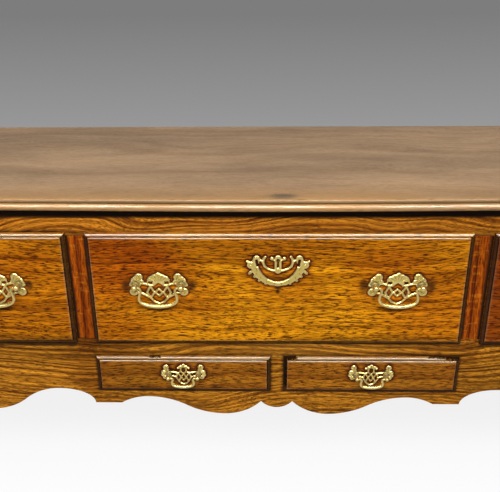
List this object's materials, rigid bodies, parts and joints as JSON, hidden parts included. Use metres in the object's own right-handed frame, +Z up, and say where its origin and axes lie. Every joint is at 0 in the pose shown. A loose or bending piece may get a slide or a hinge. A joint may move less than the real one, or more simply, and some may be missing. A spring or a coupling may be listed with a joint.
{
  "type": "dresser base",
  "caption": "Long low oak dresser base on cabriole front legs, with a row of lipped drawers over small apron drawers, pierced brass handles and keyhole plates.",
  "frame": {"origin": "on the floor, in the middle of the outline with drawers shut and bails hanging", "axes": "+X to the right as seen from the front, +Y to the back, +Z up; the drawers open towards -Y"},
  "size_m": [1.918, 0.4876, 0.83],
  "materials": {
    "top_oak": "old waxed oak, worn to a grey-brown sheen",
    "front_oak": "old waxed oak, golden brown with dark pores",
    "carcase_oak": "old waxed oak, brown",
    "inner_oak": "bare dry oak, unpolished",
    "drawer_oak": "bare planed oak, paler than the fronts",
    "brass": "cast brass, rubbed bright with dark patina in the hollows",
    "lock_iron": "dark wrought iron"
  },
  "bodies": {
    "carcase": {"top_boards": "top_oak", "front_top_rail": "front_oak", "drawer_muntins": "front_oak", "front_apron": "front_oak", "left_front_leg": "carcase_oak", "right_front_leg": "carcase_oak", "back_legs": "carcase_oak", "end_rails": "carcase_oak", "end_panels": "carcase_oak", "back_rails": "inner_oak", "back_boards": "inner_oak", "drawer_runners": "inner_oak", "drawer_guides_and_kickers": "inner_oak"},
    "left_drawer": {"left_drawer_front": "front_oak", "left_drawer_sides": "drawer_oak", "left_drawer_back": "drawer_oak", "left_drawer_bottom": "drawer_oak", "left_drawer_handle_plates": "brass", "left_drawer_handle_posts": "brass", "left_drawer_escutcheon": "brass", "left_drawer_lock": "lock_iron"},
    "left_drawer_left_bail": {"left_drawer_left_bail": "brass"},
    "left_drawer_right_bail": {"left_drawer_right_bail": "brass"},
    "left_drawer_lock_bolt": {"left_drawer_lock_bolt": "lock_iron"},
    "centre_drawer": {"centre_drawer_front": "front_oak", "centre_drawer_sides": "drawer_oak", "centre_drawer_back": "drawer_oak", "centre_drawer_bottom": "drawer_oak", "centre_drawer_handle_plates": "brass", "centre_drawer_handle_posts": "brass", "centre_drawer_escutcheon": "brass", "centre_drawer_lock": "lock_iron"},
    "centre_drawer_left_bail": {"centre_drawer_left_bail": "brass"},
    "centre_drawer_right_bail": {"centre_drawer_right_bail": "brass"},
    "centre_drawer_lock_bolt": {"centre_drawer_lock_bolt": "lock_iron"},
    "right_drawer": {"right_drawer_front": "front_oak", "right_drawer_sides": "drawer_oak", "right_drawer_back": "drawer_oak", "right_drawer_bottom": "drawer_oak", "right_drawer_handle_plates": "brass", "right_drawer_handle_posts": "brass", "right_drawer_escutcheon": "brass", "right_drawer_lock": "lock_iron"},
    "right_drawer_left_bail": {"right_drawer_left_bail": "brass"},
    "right_drawer_right_bail": {"right_drawer_right_bail": "brass"},
    "right_drawer_lock_bolt": {"right_drawer_lock_bolt": "lock_iron"},
    "left_small_drawer": {"left_small_drawer_front": "front_oak", "left_small_drawer_sides": "drawer_oak", "left_small_drawer_back": "drawer_oak", "left_small_drawer_bottom": "drawer_oak", "left_small_drawer_handle_plate": "brass", "left_small_drawer_handle_posts": "brass"},
    "left_small_drawer_bail": {"left_small_drawer_bail": "brass"},
    "right_small_drawer": {"right_small_drawer_front": "front_oak", "right_small_drawer_sides": "drawer_oak", "right_small_drawer_back": "drawer_oak", "right_small_drawer_bottom": "drawer_oak", "right_small_drawer_handle_plate": "brass", "right_small_drawer_handle_posts": "brass"},
    "right_small_drawer_bail": {"right_small_drawer_bail": "brass"}
  },
  "joints": [
    {"name": "left_drawer_slide", "type": "slide", "parent": "carcase", "child": "left_drawer", "axis": [0, -1, 0], "range_m": [0, 0.3]},
    {"name": "left_drawer_left_bail_swing", "type": "hinge", "parent": "left_drawer", "child": "left_drawer_left_bail", "pos_m": [-0.763, -0.23835, 0.671], "axis": [-1, 0, 0], "range_deg": [-10, 100]},
    {"name": "left_drawer_right_bail_swing", "type": "hinge", "parent": "left_drawer", "child": "left_drawer_right_bail", "pos_m": [-0.485, -0.23835, 0.671], "axis": [-1, 0, 0], "range_deg": [-10, 100]},
    {"name": "left_drawer_lock_bolt_slide", "type": "slide", "parent": "left_drawer", "child": "left_drawer_lock_bolt", "axis": [0, 0, 1], "range_m": [0, 0.009]},
    {"name": "centre_drawer_slide", "type": "slide", "parent": "carcase", "child": "centre_drawer", "axis": [0, -1, 0], "range_m": [0, 0.3]},
    {"name": "centre_drawer_left_bail_swing", "type": "hinge", "parent": "centre_drawer", "child": "centre_drawer_left_bail", "pos_m": [-0.2045, -0.23835, 0.671], "axis": [-1, 0, 0], "range_deg": [-10, 100]},
    {"name": "centre_drawer_right_bail_swing", "type": "hinge", "parent": "centre_drawer", "child": "centre_drawer_right_bail", "pos_m": [0.2045, -0.23835, 0.671], "axis": [-1, 0, 0], "range_deg": [-10, 100]},
    {"name": "centre_drawer_lock_bolt_slide", "type": "slide", "parent": "centre_drawer", "child": "centre_drawer_lock_bolt", "axis": [0, 0, 1], "range_m": [0, 0.009]},
    {"name": "right_drawer_slide", "type": "slide", "parent": "carcase", "child": "right_drawer", "axis": [0, -1, 0], "range_m": [0, 0.3]},
    {"name": "right_drawer_left_bail_swing", "type": "hinge", "parent": "right_drawer", "child": "right_drawer_left_bail", "pos_m": [0.485, -0.23835, 0.671], "axis": [-1, 0, 0], "range_deg": [-10, 100]},
    {"name": "right_drawer_right_bail_swing", "type": "hinge", "parent": "right_drawer", "child": "right_drawer_right_bail", "pos_m": [0.763, -0.23835, 0.671], "axis": [-1, 0, 0], "range_deg": [-10, 100]},
    {"name": "right_drawer_lock_bolt_slide", "type": "slide", "parent": "right_drawer", "child": "right_drawer_lock_bolt", "axis": [0, 0, 1], "range_m": [0, 0.009]},
    {"name": "left_small_drawer_slide", "type": "slide", "parent": "carcase", "child": "left_small_drawer", "axis": [0, -1, 0], "range_m": [0, 0.28]},
    {"name": "left_small_drawer_bail_swing", "type": "hinge", "parent": "left_small_drawer", "child": "left_small_drawer_bail", "pos_m": [-0.17, -0.23835, 0.4885], "axis": [-1, 0, 0], "range_deg": [-10, 100]},
    {"name": "right_small_drawer_slide", "type": "slide", "parent": "carcase", "child": "right_small_drawer", "axis": [0, -1, 0], "range_m": [0, 0.28]},
    {"name": "right_small_drawer_bail_swing", "type": "hinge", "parent": "right_small_drawer", "child": "right_small_drawer_bail", "pos_m": [0.17, -0.23835, 0.4885], "axis": [-1, 0, 0], "range_deg": [-10, 100]}
  ]
}
